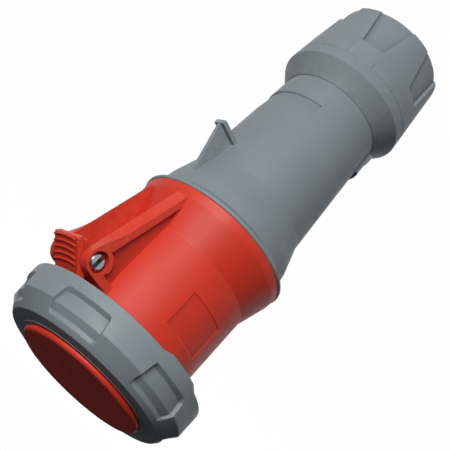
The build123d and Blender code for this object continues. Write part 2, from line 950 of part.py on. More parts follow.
def cover_screw(x, y):
    screw = rod_z(cover_screw_r, cover_rear_z, insert_rear_z + cover_screw_length - loose_fit, x, y)
    head = rod_z(cover_screw_head_r, cover_rear_z - cover_screw_head, cover_rear_z, x, y)
    slot = Pos(x, y, cover_rear_z - cover_screw_head)
    slot *= Box(3 * cover_screw_head_r, screw_slot_width, 2 * screw_slot_depth)
    return screw + (head - slot)


def contact(pin, x, y, direction, screw_r):
    """A slotted sleeve on a solid base, with a terminal block behind it."""
    outer = sleeve_r(pin)
    collar = chamber_r(pin) - loose_fit
    base_z = insert_rear_z + loose_fit
    piece = rod_z(outer, terminal_rear_z, sleeve_front_z)
    piece += rod_z(collar, base_z, base_z + contact_collar)
    piece -= rod_z(pin, sleeve_rear_z, sleeve_front_z + cut_over)
    piece -= rod_z(outer - wire_hole_wall, terminal_rear_z - cut_over, terminal_rear_z + wire_hole_depth)
    slot = Box(3 * outer, sleeve_slot, sleeve_slot_length, align=(Align.CENTER, Align.CENTER, Align.MAX))
    for turn in sleeve_slot_turns:
        piece -= Pos(0, 0, sleeve_front_z) * Rot(0, 0, turn) * slot
    hole_z = terminal_rear_z + terminal_screw_from_end
    hole = Plane(origin=(0, 0, hole_z), z_dir=(1, 0, 0)) * Cylinder(
        screw_r, outer + cut_over, align=(Align.CENTER, Align.CENTER, Align.MIN)
    )
    piece -= hole
    return Pos(x, y, 0) * Rot(0, 0, direction) * piece


def terminal_screw(pin, x, y, direction, screw_r):
    outer = sleeve_r(pin)
    hole_z = terminal_rear_z + terminal_screw_from_end
    low = outer - terminal_screw_length / 2
    plane = Plane(origin=(low, 0, hole_z), z_dir=(1, 0, 0))
    screw = plane * Cylinder(screw_r, terminal_screw_length, align=(Align.CENTER, Align.CENTER, Align.MIN))
    slot = Pos(low + terminal_screw_length, 0, hole_z)
    slot *= Box(2 * screw_slot_depth, screw_slot_width, 3 * screw_r)
    return Pos(x, y, 0) * Rot(0, 0, direction) * (screw - slot)


def sleeve_spring(pin, x, y, direction):
    inner = sleeve_r(pin)
    high = sleeve_front_z - spring_ring_from_mouth
    low = high - spring_ring_height
    outer = inner + spring_ring_wall
    ring = spun([(inner, low), (outer, low), (outer, high), (inner, high)])
    half = spring_ring_gap / 2
    ring -= block((0, outer + cut_over), (-half, half), (low - cut_over, high + cut_over))
    return Pos(x, y, 0) * Rot(0, 0, direction) * ring


save("gland_nut", gland_nut())
save("pressure_ring", pressure_ring())
save("clamp_cage", clamp_cage())
save("gland_seal", gland_seal())
save("rear_housing", rear_housing())
save("housing_seal", housing_seal())
save("housing_flare", housing_flare())
save("front_housing", front_housing())
save("ear_right", ear_right())
save("ear_left", ear_left())
save("hinge_pin", hinge_pin())
save("lid_spring", lid_spring())
save("lock_ring", lock_ring())
save("lid", lid())
save("lid_seal", lid_seal())
save("contact_insert", contact_insert())
save("insert_face", insert_face())
save("chamber_block", chamber_block())
save("insert_cover", insert_cover())
for number, (x, y) in enumerate(cover_screw_places(), 1):
    save(f"cover_screw_{number}", cover_screw(x, y))
for name, (pin, direction) in contacts.items():
    x, y = at_contact(direction)
    save(name, contact(pin, x, y, direction, terminal_screw_r))
    short = name.replace("contact_", "")
    save(f"terminal_screw_{short}", terminal_screw(pin, x, y, direction, terminal_screw_r))
    save(f"sleeve_spring_{short}", sleeve_spring(pin, x, y, direction))
pilot_direction = 90
save("contact_pilot", contact(pilot_pin_r, 0, 0, pilot_direction, pilot_screw_r))
save("terminal_screw_pilot", terminal_screw(pilot_pin_r, 0, 0, pilot_direction, pilot_screw_r))
save("sleeve_spring_pilot", sleeve_spring(pilot_pin_r, 0, 0, pilot_direction))
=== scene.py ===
# %% [markdown]
# A power connector of the kind used on building sites: a red front housing with a hinged,
# spring-closed lid, a grey lock ring round the lid, a grey handle and a grey gland nut.
# The CAD model gives the bodies, their joints and the outer size, so this lesson starts by
# loading it as a fixed frame. Each visible part is then modelled again with soft moulded
# edges, and takes the place of its CAD solid. The parts that hide inside keep their CAD
# shape and get a finish.

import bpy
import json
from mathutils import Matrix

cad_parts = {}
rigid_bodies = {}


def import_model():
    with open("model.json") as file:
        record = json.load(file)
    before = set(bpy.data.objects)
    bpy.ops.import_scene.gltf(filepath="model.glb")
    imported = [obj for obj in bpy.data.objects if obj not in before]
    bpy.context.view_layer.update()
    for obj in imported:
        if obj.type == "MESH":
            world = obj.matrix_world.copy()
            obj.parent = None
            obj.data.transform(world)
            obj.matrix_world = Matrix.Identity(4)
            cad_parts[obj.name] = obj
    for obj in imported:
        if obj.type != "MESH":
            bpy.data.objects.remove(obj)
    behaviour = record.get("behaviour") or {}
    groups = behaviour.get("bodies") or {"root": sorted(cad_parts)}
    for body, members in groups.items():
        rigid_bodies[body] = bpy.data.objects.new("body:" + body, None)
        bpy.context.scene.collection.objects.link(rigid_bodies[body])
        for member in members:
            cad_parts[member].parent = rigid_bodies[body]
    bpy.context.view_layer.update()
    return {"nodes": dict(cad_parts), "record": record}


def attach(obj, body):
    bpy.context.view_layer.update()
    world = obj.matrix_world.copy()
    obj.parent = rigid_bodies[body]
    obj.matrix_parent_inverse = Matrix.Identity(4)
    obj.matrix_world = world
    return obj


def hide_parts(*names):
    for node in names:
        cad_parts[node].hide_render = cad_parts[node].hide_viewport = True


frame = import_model()

# %% [markdown]
# Everything in Blender is in metres, and drawings of a connector are in millimetres. One
# constant converts them, so the numbers below can be read like a drawing's.

# %% Units and tools
import json
import math

import bmesh
import bpy
from mathutils import Matrix, Vector

MM = 0.001
print("one millimetre is", MM, "m")

# %% [markdown]
# The camera comes first, because every later choice is judged through it. It stands 0.66 m
# from the object's foot and is rolled, so that the standing connector lies across the
# picture. A camera turned by three angles is hard to read. Its matrix is built here from
# three directions: its right, its up and the way back from the object.

# %% Camera
lens_mm, sensor_mm = 83.76, 36.0
camera_place = Vector((0.43290, 0.31606, 0.38593))
view_right = Vector((0.64618, -0.42757, -0.63217))
view_up = Vector((-0.17371, 0.72418, -0.66738))
view_back = Vector((0.74315, 0.54106, 0.39368))
lens_data = bpy.data.cameras.new("photo_camera")
lens_data.lens = lens_mm
lens_data.sensor_width = sensor_mm
camera = bpy.data.objects.new("photo_camera", lens_data)
bpy.context.scene.collection.objects.link(camera)
turned_view = Matrix((view_right, view_up, view_back)).transposed().to_4x4()
camera.matrix_world = Matrix.Translation(camera_place) @ turned_view
bpy.context.scene.camera = camera
bpy.context.scene.view_settings.view_transform = "Standard"
print("camera is", round(camera_place.length, 2), "m away")
print("camera looks along", [round(-v, 2) for v in view_back])

# %% [markdown]
# The studio is one soft box, low and to the hinge side, and two weak ones: one high, and one
# low and opposite the camera, so that the back isn't black. Low lamps leave the lid's flat
# face in half shade, as a lid looks when the connector lies on a bench below a window. An
# area lamp gives the soft edge between light and shade that a small lamp can't.

# %% Lamps
lamp_target = Vector((0, 0, 0.14))
window_light, sky_light = (1.0, 0.985, 0.97), (0.97, 0.985, 1.0)


def soft_box(name, direction_deg, distance, height, width, tall, watts, tint):
    """A rectangular lamp that looks at the middle of the connector."""
    turn = math.radians(direction_deg)
    place = Vector((distance * math.cos(turn), distance * math.sin(turn), height))
    lamp = bpy.data.lights.new(name, "AREA")
    lamp.shape = "RECTANGLE"
    lamp.size, lamp.size_y = width, tall
    lamp.energy = watts
    lamp.color = tint
    box = bpy.data.objects.new(name, lamp)
    bpy.context.scene.collection.objects.link(box)
    aim = (lamp_target - place).to_track_quat("-Z", "Y").to_matrix().to_4x4()
    box.matrix_world = Matrix.Translation(place) @ aim
    return box


key_box = soft_box("key_box", direction_deg=57, distance=1.6, height=0.14,
                   width=1.1, tall=0.30, watts=26.5, tint=window_light)
back_box = soft_box("back_box", direction_deg=-161, distance=1.8, height=1.5,
                    width=0.8, tall=0.8, watts=5, tint=sky_light)
far_box = soft_box("far_box", direction_deg=-138, distance=1.6, height=0.14,
                   width=1.1, tall=0.30, watts=13, tint=sky_light)
for box in (back_box, far_box):
    box.visible_glossy = False
far_box.visible_camera = False
print("lamps", key_box.name, back_box.name, far_box.name)

# %% [markdown]
# Node trees are wired with a few small helpers. This one makes a maths node from two values,
# each of which is either a number or another node's output.

# %% A maths node
def combined(tree, operation, first, second):
    """The output of a maths node whose two values are numbers or other outputs."""
    node = tree.nodes.new("ShaderNodeMath")
    node.operation = operation
    for socket, value in zip(node.inputs, (first, second)):
        if isinstance(value, float):
            socket.default_value = value
        else:
            tree.links.new(value, socket)
    return node.outputs[0]


print("helper ready:", combined.__name__)

# %% [markdown]
# The air is dim, so that shades stay dark. The camera sees it as white, so that a low view
# has no dark sky above the floor. Light Path tells the camera's own rays from all others.

# %% World
air_tint, air_strength = (0.93, 0.96, 1.0), 0.045
world = bpy.data.worlds.new("studio_air")
bpy.context.scene.world = world
world.use_nodes = True
air = world.node_tree
dim_air = air.nodes["Background"]
dim_air.inputs["Color"].default_value = (*air_tint, 1)
dim_air.inputs["Strength"].default_value = air_strength
white_sky = air.nodes.new("ShaderNodeBackground")
white_sky.inputs["Color"].default_value = (1, 1, 1, 1)
air_rays = air.nodes.new("ShaderNodeLightPath")
either = air.nodes.new("ShaderNodeMixShader")
air.links.new(air_rays.outputs["Is Camera Ray"], either.inputs[0])
air.links.new(dim_air.outputs[0], either.inputs[1])
air.links.new(white_sky.outputs[0], either.inputs[2])
air.links.new(either.outputs[0], air.nodes["World Output"].inputs["Surface"])
print("air strength", air_strength)

# %% [markdown]
# The floor is a wide pale sheet. To the camera and in reflections most of it glows white,
# whatever light falls on it, and the rest is an ordinary surface that keeps a faint shadow
# of the connector. The glow is switched on for those rays only, so it never lights the part.

# %% Floor
floor_size, paper_grey, paper_roughness = 60.0, 0.45, 0.9
glow_strength, glow_share = 1.06, 0.93
bpy.ops.object.select_all(action="DESELECT")
bpy.ops.mesh.primitive_plane_add(size=floor_size, location=(0, 0, 0))
floor = bpy.context.object
floor.name = "studio_floor"
paper = bpy.data.materials.new("studio_paper")
paper.use_nodes = True
tree = paper.node_tree
surface = tree.nodes["Principled BSDF"]
surface.inputs["Base Color"].default_value = (paper_grey, paper_grey, paper_grey, 1)
surface.inputs["Roughness"].default_value = paper_roughness
surface.inputs["Specular IOR Level"].default_value = 0.0
glow = tree.nodes.new("ShaderNodeEmission")
glow.inputs["Strength"].default_value = glow_strength
rays = tree.nodes.new("ShaderNodeLightPath")
seen = combined(tree, "MAXIMUM", rays.outputs["Is Camera Ray"], rays.outputs["Is Glossy Ray"])
seen_too = combined(tree, "MAXIMUM", seen, rays.outputs["Is Transmission Ray"])
mixed = tree.nodes.new("ShaderNodeMixShader")
tree.links.new(combined(tree, "MULTIPLY", seen_too, glow_share), mixed.inputs[0])
tree.links.new(surface.outputs[0], mixed.inputs[1])
tree.links.new(glow.outputs[0], mixed.inputs[2])
tree.links.new(mixed.outputs[0], tree.nodes["Material Output"].inputs["Surface"])
floor.data.materials.append(paper)
print("floor", [round(v, 1) for v in floor.dimensions])

# %% [markdown]
# Most parts of a connector are turned shapes: their outline is the same all the way round.
# In Blender such a part can be spun from a profile, or grown from a circle that is extruded
# from station to station. The second way is used here, because the columns of faces then
# stand at known angles, and pockets and fields can be cut along them. A station on the axis
# itself can only be the last one, so a solid end starts at a radius that is nearly nothing.

# %% Turned parts
ON_AXIS = 0.001
MERGE_MM = 0.002


def choose(piece):
    """Select one piece and nothing else, and make it active."""
    bpy.ops.object.select_all(action="DESELECT")
    piece.select_set(True)
    bpy.context.view_layer.objects.active = piece


def edit(piece):
    """Open one piece in edit mode, with nothing else selected."""
    choose(piece)
    bpy.ops.object.mode_set(mode="EDIT")


def done():
    """Close edit mode."""
    bpy.ops.object.mode_set(mode="OBJECT")


def turned(name, columns, stations):
    """Grow a circle through (radius, z) stations in millimetres; equal ends are merged."""
    bpy.ops.object.select_all(action="DESELECT")
    radius, height = stations[0]
    bpy.ops.mesh.primitive_circle_add(
        vertices=columns, radius=radius * MM, location=(0, 0, height * MM))
    piece = bpy.context.object
    piece.name = name
    bpy.ops.object.transform_apply(location=True, rotation=False, scale=False)
    bpy.ops.object.mode_set(mode="EDIT")
    bpy.ops.mesh.select_mode(type="EDGE")
    bpy.ops.mesh.select_all(action="SELECT")
    for (r_from, z_from), (r_to, z_to) in zip(stations, stations[1:]):
        step = (0, 0, (z_to - z_from) * MM)
        bpy.ops.mesh.extrude_edges_move(TRANSFORM_OT_translate={"value": step})
        grow = max(r_to, 1e-6) / max(r_from, 1e-6)
        bpy.ops.transform.resize(value=(grow, grow, 1), center_override=(0, 0, z_to * MM))
    bpy.ops.mesh.select_all(action="SELECT")
    bpy.ops.mesh.remove_doubles(threshold=MERGE_MM * MM)
    bpy.ops.mesh.normals_make_consistent(inside=False)
    done()
    return piece


print("helpers ready:", choose.__name__, edit.__name__, done.__name__, turned.__name__)

# %% [markdown]
# Faces and points are picked by where they are, as a hand would pick them. A place round the
# axis is an angle from +X, so each test looks at a radius, an angle and a height. A row of
# points lies at one station's height, and a narrow range of heights holds it.

# %% Picking by place
ROW_SLACK = 0.1


def rows(low_z, high_z=None):
    """The range of heights that holds the rows from one station to another."""
    return low_z - ROW_SLACK, (low_z if high_z is None else high_z) + ROW_SLACK


def place_of(item):
    """The radius, the angle and the height of a point or of a face's middle."""
    point = item.co if isinstance(item, bmesh.types.BMVert) else item.calc_center_median()
    angle = math.degrees(math.atan2(point.y, point.x))
    return math.hypot(point.x, point.y) / MM, angle, point.z / MM


def off_angle(angle, middle, repeat=360):
    """How far an angle is from the nearest of the evenly repeated middles."""
    return (angle - middle + repeat / 2) % repeat - repeat / 2


def pick_round(kind, r_range, z_range, middle=0, half=180, repeat=360):
    """Select the verts or faces in a radius range, a height range and a window of angles."""
    bpy.ops.mesh.select_mode(type={"verts": "VERT", "faces": "FACE"}[kind])
    bpy.ops.mesh.select_all(action="DESELECT")
    mesh = bmesh.from_edit_mesh(bpy.context.edit_object.data)
    for item in getattr(mesh, kind):
        radius, angle, height = place_of(item)
        if (r_range[0] <= radius <= r_range[1] and z_range[0] <= height <= z_range[1]
                and abs(off_angle(angle, middle, repeat)) <= half):
            item.select_set(True)
    mesh.select_flush_mode()
    bmesh.update_edit_mesh(bpy.context.edit_object.data)


print("helpers ready:", rows.__name__, place_of.__name__, pick_round.__name__)

# %% [markdown]
# What is picked is then moved in one of two ways: to another radius, which pushes it in or
# out, or round the axis. Blender's turn operator counts the other way round, so the sign
# changes here once and nowhere else.

# %% Moving what is picked
def to_radius(r_from, r_to, rise=0.0):
    """Move the selection from one radius to another, and along the axis, in millimetres."""
    grow = r_to / r_from
    bpy.ops.transform.resize(value=(grow, grow, 1), center_override=(0, 0, 0))
    if rise:
        bpy.ops.transform.translate(value=(0, 0, rise * MM))


def swing(degrees):
    """Turn the selection about the connector's axis, counted from +X to +Y."""
    turn = -math.radians(degrees)
    bpy.ops.transform.rotate(value=turn, orient_axis="Z", center_override=(0, 0, 0))


print("helpers ready:", to_radius.__name__, swing.__name__)

# %% [markdown]
# Moulded plastic has no sharp edge anywhere, and a bevel as narrow as the mould's own
# rounding catches the light as a thin line. The bevel goes on every edge that turns by more
# than a given angle. Smooth shading then stops at what is still sharp, and each point takes
# its normal from its larger faces, so that flat walls look flat up to their edges.

# %% Soft edges
SMOOTH_BELOW_DEG = 40
FACE_AREA_WEIGHT = 50


def settle(piece):
    """Smooth the shading, with each point's normal taken from its larger faces."""
    choose(piece)
    bpy.ops.object.shade_smooth_by_angle(angle=math.radians(SMOOTH_BELOW_DEG))
    weigh = piece.modifiers.new("face_weights", "WEIGHTED_NORMAL")
    weigh.mode = "FACE_AREA"
    weigh.weight = FACE_AREA_WEIGHT
    weigh.keep_sharp = True
    bpy.ops.object.modifier_apply(modifier=weigh.name)


def soften(piece, width, turn_deg=6, segments=2):
    """Bevel every edge that turns by more than an angle, by a width in millimetres."""
    edit(piece)
    bpy.ops.mesh.select_all(action="SELECT")
    bpy.ops.mesh.normals_make_consistent(inside=False)
    done()
    bevel = piece.modifiers.new("soft_edge", "BEVEL")
    bevel.width = width * MM
    bevel.segments = segments
    bevel.limit_method = "ANGLE"
    bevel.angle_limit = math.radians(turn_deg)
    bevel.use_clamp_overlap = False
    bpy.ops.object.modifier_apply(modifier=bevel.name)
    settle(piece)


print("helpers ready:", settle.__name__, soften.__name__)

# %% [markdown]
# A finished piece rides on one body of the frame, so it moves with that body's joint. The CAD
# nodes it stands for are hidden, and it says which finish it gets at the end.

# %% Finished pieces
def joined(first, *others):
    """Make several pieces one object, which keeps the first one's name."""
    bpy.ops.object.select_all(action="DESELECT")
    for piece in (first, *others):
        piece.select_set(True)
    bpy.context.view_layer.objects.active = first
    bpy.ops.object.join()
    return first


def finished(piece, body, slot_name, *nodes):
    """Let a piece ride on its body, take its finish from a slot and hide the CAD nodes it stands
    for.
    """
    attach(piece, body)
    if nodes:
        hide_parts(*nodes)
    piece["finish"] = slot_name
    size = [round(v / MM, 1) for v in piece.dimensions]
    print(piece.name, len(piece.data.polygons), "faces", size)


print("helpers ready:", joined.__name__, finished.__name__)

# %% [markdown]
# Where a pocket narrows towards one end, its columns have to narrow with it. Sliding the
# columns round the axis keeps every point on the turned surface, so nothing dents. The
# columns inside the window are drawn together, and those outside spread to fill the rest.

# %% Sliding columns
def slide_columns(r_range, z_range, middle, repeat, half_from, half_to):
    """Move the window's edge from one half angle to another in one row of points."""
    mesh = bmesh.from_edit_mesh(bpy.context.edit_object.data)
    limit = repeat / 2
    for vert in mesh.verts:
        radius, angle, height = place_of(vert)
        if not (r_range[0] <= radius <= r_range[1] and z_range[0] <= height <= z_range[1]):
            continue
        off = off_angle(angle, middle, repeat)
        size = abs(off)
        if size <= half_from:
            moved = size * half_to / half_from
        else:
            moved = half_to + (size - half_from) * (limit - half_to) / (limit - half_from)
        turn = math.radians(math.copysign(moved, off) - off)
        vert.co = Matrix.Rotation(turn, 3, "Z") @ vert.co
    bmesh.update_edit_mesh(bpy.context.edit_object.data)


print("helper ready:", slide_columns.__name__)

# %% [markdown]
# The lock ring turns on the lid and holds the connector shut on its partner. It has six
# finger pockets, a cone that leads in to a flat front face, and two low lobes on its rear
# edge. Its columns of faces are chosen so that a pocket is twelve of them wide.

# %% Lock ring, turned shape
ring_columns = 132
ring_r, ring_bore_r, ring_rear_z = 57.1, 52.7, 247.8
pocket_start_z, pocket_rear_z, pocket_front_z = 254.35, 256.25, 263.65
cone_pocket_r, cone_pocket_z = 54.0, 267.35
cam_rear_z, cam_front_z = 249.3, 252.6
ring_stations = [
    (ring_r, ring_rear_z), (ring_r, pocket_start_z), (ring_r, pocket_rear_z),
    (ring_r, pocket_front_z), (cone_pocket_r, cone_pocket_z), (51.87, 269.9), (49.7, 272.45),
    (41.4, 273.1), (41.4, 273.45), (37.5, 273.45), (37.5, 268.65), (46.35, 268.65),
    (ring_bore_r, 261.0), (ring_bore_r, cam_front_z), (ring_bore_r, cam_rear_z),
    (ring_bore_r, ring_rear_z), (ring_r, ring_rear_z),
]
lock_ring = turned("ring_shell", ring_columns, ring_stations)
print(lock_ring.name, "columns", ring_columns)

# %% [markdown]
# A pocket's floor is the part of three rows that moves inwards. The floor's outermost
# columns then move out to the foot of the side walls, and the rows behind the pocket slide
# together, so that the rear corners lean in.

# %% Lock ring, finger pockets
pocket_repeat, pocket_r = 60, 54.7
floor_half, floor_border, wall_edge = 14.2, 13.64, 16.36
# Each row: its height, the radius it has, the floor's radius, and how far it moves forwards
pocket_rows = [
    (pocket_rear_z, ring_r, pocket_r, 0.0),
    (pocket_front_z, ring_r, pocket_r, 0.35),
    (cone_pocket_z, cone_pocket_r, 51.9, 0.0),
]
edit(lock_ring)
for height, r_from, r_to, rise in pocket_rows:
    pick_round("verts", (53.0, 57.3), rows(height), 0, floor_half, pocket_repeat)
    to_radius(r_from, r_to, rise)
floor_rows = rows(pocket_rear_z, cone_pocket_z)
for side in (1, -1):
    pick_round("verts", (51.8, 55.0), floor_rows, side * floor_border, 0.4, pocket_repeat)
    swing(2.3 * side)
slide_columns((56.9, 57.3), rows(pocket_start_z), 0, pocket_repeat, wall_edge, 14.6)
slide_columns((54.5, 57.3), rows(pocket_rear_z), 0, pocket_repeat, wall_edge, 15.0)
done()
print("pockets", 360 // pocket_repeat)

# %% [markdown]
# The lobes are only the rear edge pulled back, and the bayonet cams are the inner wall
# pulled inwards, so both are made from faces that are already there.

# %% Lock ring, lobes and cams
# Each step of the lobes: its half angle, and how far its points move back
lobe_steps = [(11.7, 2.0), (14.2, 1.0)]
cam_middle, cam_half, cam_r = 31.5, 17.5, 44.3
edit(lock_ring)
for half, back in lobe_steps:
    pick_round("verts", (52.0, 57.3), rows(ring_rear_z), 0, half, 180)
    bpy.ops.transform.translate(value=(0, 0, -back * MM))
pick_round("faces", (52.0, 52.8), rows(cam_rear_z, cam_front_z), cam_middle, cam_half, 180)
bpy.ops.mesh.extrude_region_move()
to_radius(ring_bore_r, cam_r)
done()
soften(lock_ring, 0.45)
finished(lock_ring, "lock_ring", "grey_plastic", "lock_ring")

# %% [markdown]
# The lid is a shallow cap with a rounded rim. Its neck runs in the ring's bore, and a flange
# behind it holds the ring. The rim's quarter round is worked out point by point, because
# this curve gives the lid its bright edge.

# %% Lid cap
lid_r, lid_top_z = 39.1, 276.45
seat_z, flange_z, rim_round, rim_steps = 264.6, 268.5, 2.2, 6
rim_arc = []
for step in range(rim_steps + 1):
    turn = math.radians(90 * step / rim_steps)
    rim_arc.append((lid_r - rim_round * (1 - math.cos(turn)),
                    lid_top_z - rim_round * (1 - math.sin(turn))))
cap_stations = [
    (ON_AXIS, 272.9), (33.0, 272.9), (33.0, seat_z), (36.9, seat_z), (36.9, 266.2),
    (40.6, 266.2), (40.6, seat_z), (46.7, seat_z), (46.7, 267.3), (45.5, flange_z),
    (37.4, flange_z), (37.4, 273.55), (lid_r, 273.55), *rim_arc, (30.0, lid_top_z),
    (0.0, lid_top_z),
]
lid_cap = turned("lid_cap", 128, cap_stations)
soften(lid_cap, 0.25, turn_deg=20)
finished(lid_cap, "lid", "red_plastic", "lid")

# %% [markdown]
# Flat parts such as the ears, the fin and the thumb tab are drawn as an outline seen from
# the side. One point is pushed out of another all round the outline, the outline is filled,
# and the face is given its thickness along X. Parts that turn on the hinge's line are grown
# along Z like the others, and then laid down.

# %% Flat parts and parts along X
def plate(name, outline, x_low, x_high):
    """A plate with a (y, z) outline between two X places, all in millimetres."""
    bpy.ops.object.select_all(action="DESELECT")
    first_y, first_z = outline[0]
    start = (x_low * MM, first_y * MM, first_z * MM)
    bpy.ops.mesh.primitive_plane_add(size=MM, location=start)
    piece = bpy.context.object
    piece.name = name
    bpy.ops.object.transform_apply(location=True, rotation=False, scale=False)
    bpy.ops.object.mode_set(mode="EDIT")
    bpy.ops.mesh.select_mode(type="VERT")
    bpy.ops.mesh.select_all(action="SELECT")
    bpy.ops.mesh.merge(type="CENTER")
    for (y_from, z_from), (y_to, z_to) in zip(outline, outline[1:]):
        step = (0, (y_to - y_from) * MM, (z_to - z_from) * MM)
        bpy.ops.mesh.extrude_vertices_move(TRANSFORM_OT_translate={"value": step})
    bpy.ops.mesh.select_all(action="SELECT")
    bpy.ops.mesh.edge_face_add()
    thick = ((x_high - x_low) * MM, 0, 0)
    bpy.ops.mesh.extrude_region_move(TRANSFORM_OT_translate={"value": thick})
    bpy.ops.mesh.select_all(action="SELECT")
    bpy.ops.mesh.normals_make_consistent(inside=False)
    done()
    return piece


def along_x(name, columns, stations, y, z):
    """A turned part on a line along X: stations are (radius, x) in millimetres."""
    piece = turned(name, columns, stations)
    piece.rotation_euler = (0, math.pi / 2, 0)
    piece.location = (0, y * MM, z * MM)
    bpy.ops.object.transform_apply(location=True, rotation=True, scale=False)
    return piece


def sides_of(points):
    """The (y, z) outline of points that are worked out with directions."""
    return [(point.y, point.z) for point in points]


print("helpers ready:", plate.__name__, along_x.__name__, sides_of.__name__)

# %% [markdown]
# The thumb tab leans back from the ring, and a tongue joins it to the lid's flange inside the
# ring. A neck ties it to the barrel that turns on the hinge pin. Two directions describe
# its leaning face: straight out of the face, and up along it, away from the axis.

# %% Thumb tab and hinge barrel
pin_y, pin_z = 53.1, 236.2
lean = math.radians(36.0)
fall = -math.tan(lean)
face_out = Vector((0, math.sin(lean), math.cos(lean)))
face_up = Vector((0, math.cos(lean), -math.sin(lean)))
tab_left, tab_right, tab_thickness = -10.6, 11.3, 4.1
# The leaning face passes this height at y 53.5, and both its ends are measured from there
face_z, to_top, to_tongue = 246.0, 14.65, 7.9
tab_top = Vector((0, 68.15, face_z + to_top * fall))
tab_back = tab_top - tab_thickness * face_out
tongue_low_y, tongue_high_y, tongue_front_z = 42.0, 45.6, 267.6
tab_outline = [
    (tongue_high_y, tongue_front_z), (tongue_high_y, face_z - to_tongue * fall),
    (tab_top.y, tab_top.z), (tab_back.y, tab_back.z),
    (tongue_low_y, tab_back.z + (tongue_low_y - tab_back.y) * fall),
    (tongue_low_y, tongue_front_z),
]
thumb_tab = plate("thumb_tab", tab_outline, tab_left, tab_right)
soften(thumb_tab, 1.0, turn_deg=20, segments=4)

barrel_r, barrel_bore_r, barrel_left, barrel_right = 5.2, 2.62, -10.5, 4.6
pin_line = Vector((0, pin_y, pin_z))
neck_side, neck_out = barrel_r * face_up, 4.6 * face_out
neck_points = [pin_line - neck_side, pin_line + neck_side,
               pin_line + neck_side + neck_out, pin_line - neck_side + neck_out]
neck = plate("tab_neck", sides_of(neck_points), -9.9, barrel_right)
soften(neck, 0.5, turn_deg=20)
barrel_stations = [(barrel_bore_r, barrel_left), (barrel_r, barrel_left),
                   (barrel_r, barrel_right), (barrel_bore_r, barrel_right),
                   (barrel_bore_r, barrel_left)]
barrel = along_x("hinge_barrel", 48, barrel_stations, pin_y, pin_z)
soften(barrel, 0.35, turn_deg=20)
print(thumb_tab.name, neck.name, barrel.name)

# %% [markdown]
# The five arched ribs on the tab's face are for grip. One rib is a bar, cut across into
# short lengths, whose ends sink below its middle in a shallow arch. The other four are
# copies with a mesh of their own. A guard under the tab covers the closing spring.

# %% Thumb ribs and spring guard
rib_length, rib_width, rib_height, rib_arch = 19.2, 1.15, 1.3, 0.9
rib_count, rib_pitch, first_rib, rib_parts = 5, 3.13, 0.95, 16
bpy.ops.object.select_all(action="DESELECT")
rib_scale = (rib_length, rib_width, rib_height)
bpy.ops.mesh.primitive_cube_add(size=MM, location=(0, 0, 0), scale=rib_scale)
rib = bpy.context.object
rib.name = "thumb_rib"
bpy.ops.object.transform_apply(location=False, rotation=False, scale=True)
edit(rib)
for step in range(1, rib_parts):
    cut_x = (-0.5 + step / rib_parts) * rib_length * MM
    bpy.ops.mesh.select_all(action="SELECT")
    bpy.ops.mesh.bisect(plane_co=(cut_x, 0, 0), plane_no=(1, 0, 0))
arched = bmesh.from_edit_mesh(rib.data)
for vert in arched.verts:
    from_middle = vert.co.x / (0.5 * rib_length * MM)
    vert.co.y -= rib_arch * from_middle * from_middle * MM
bmesh.update_edit_mesh(rib.data)
done()
soften(rib, 0.42, turn_deg=40, segments=3)

on_face = Matrix((Vector((1, 0, 0)), face_up, face_out)).transposed().to_4x4()
ribs_aside = Vector((-0.7, 0, 0))
ribs = []
for number in range(rib_count):
    copy = rib.copy()
    copy.data = rib.data.copy()
    copy.name = f"thumb_rib_{number + 1}"
    bpy.context.scene.collection.objects.link(copy)
    middle = tab_top - (first_rib + number * rib_pitch) * face_up + ribs_aside
    copy.data.transform(Matrix.Translation(middle * MM) @ on_face)
    ribs.append(copy)
bpy.data.objects.remove(rib)

guard_top = tab_back + 0.6 * face_out - 1.4 * face_up
guard_points = [guard_top, guard_top - 4.2 * face_out - 1.2 * face_up,
                guard_top - 4.2 * face_out - 9 * face_up, guard_top - 12 * face_up]
spring_guard = plate("spring_guard", sides_of(guard_points), 4.4, 10.0)
soften(spring_guard, 0.5, turn_deg=20)
joined(thumb_tab, neck, barrel, spring_guard, *ribs)
finished(thumb_tab, "lid", "red_plastic", "lid")

# %% [markdown]
# The red front housing is a flare at the joint, a cone and a straight collar. A shallow field
# for ratings lies on its side, which stays bare here. Behind the ring it has two bayonet
# lugs, and a keyway runs down its bore. The lugs are faces pushed out, and the field and the
# keyway are points pushed in or out.

# %% Front housing
joint_z, joint_r, collar_r, mouth_z, mouth_bore_r = 170.6, 47.4, 41.3, 264.0, 36.8
field_rear_z, field_front_z, field_r = 211.7, 232.8, 40.75
lug_rear_z, lug_front_z, lug_r = 254.6, 259.6, 47.4
keyway_rear_z, keyway_r = 216.0, 38.7
front_stations = [
    (joint_r, joint_z), (46.7, 175.95), (collar_r, 194.3), (collar_r, field_rear_z - 0.5),
    (collar_r, field_rear_z), (collar_r, field_front_z), (collar_r, field_front_z + 0.5),
    (collar_r, lug_rear_z), (collar_r, lug_front_z), (collar_r, mouth_z),
    (mouth_bore_r, mouth_z), (mouth_bore_r, keyway_rear_z), (mouth_bore_r, 191.1),
    (38.7, 191.1), (38.7, 179.9), (42.6, 179.9), (42.6, joint_z), (joint_r, joint_z),
]
front_shell = turned("front_shell", 128, front_stations)
edit(front_shell)
pick_round("verts", (40.0, 42.0), rows(field_rear_z, field_front_z), 0, 17.0)
to_radius(collar_r, field_r)
for side in (1, -1):
    pick_round("verts", (40.0, 41.0), rows(field_rear_z, field_front_z), side * 16.875, 0.4)
    swing(2.2 * side)
pick_round("faces", (41.0, 41.5), rows(lug_rear_z, lug_front_z), 0, 6.0, 180)
bpy.ops.mesh.extrude_region_move()
to_radius(collar_r, lug_r)
pick_round("verts", (36.5, 37.0), rows(keyway_rear_z, mouth_z), -90, 5.8)
to_radius(mouth_bore_r, keyway_r)
done()
soften(front_shell, 0.3)
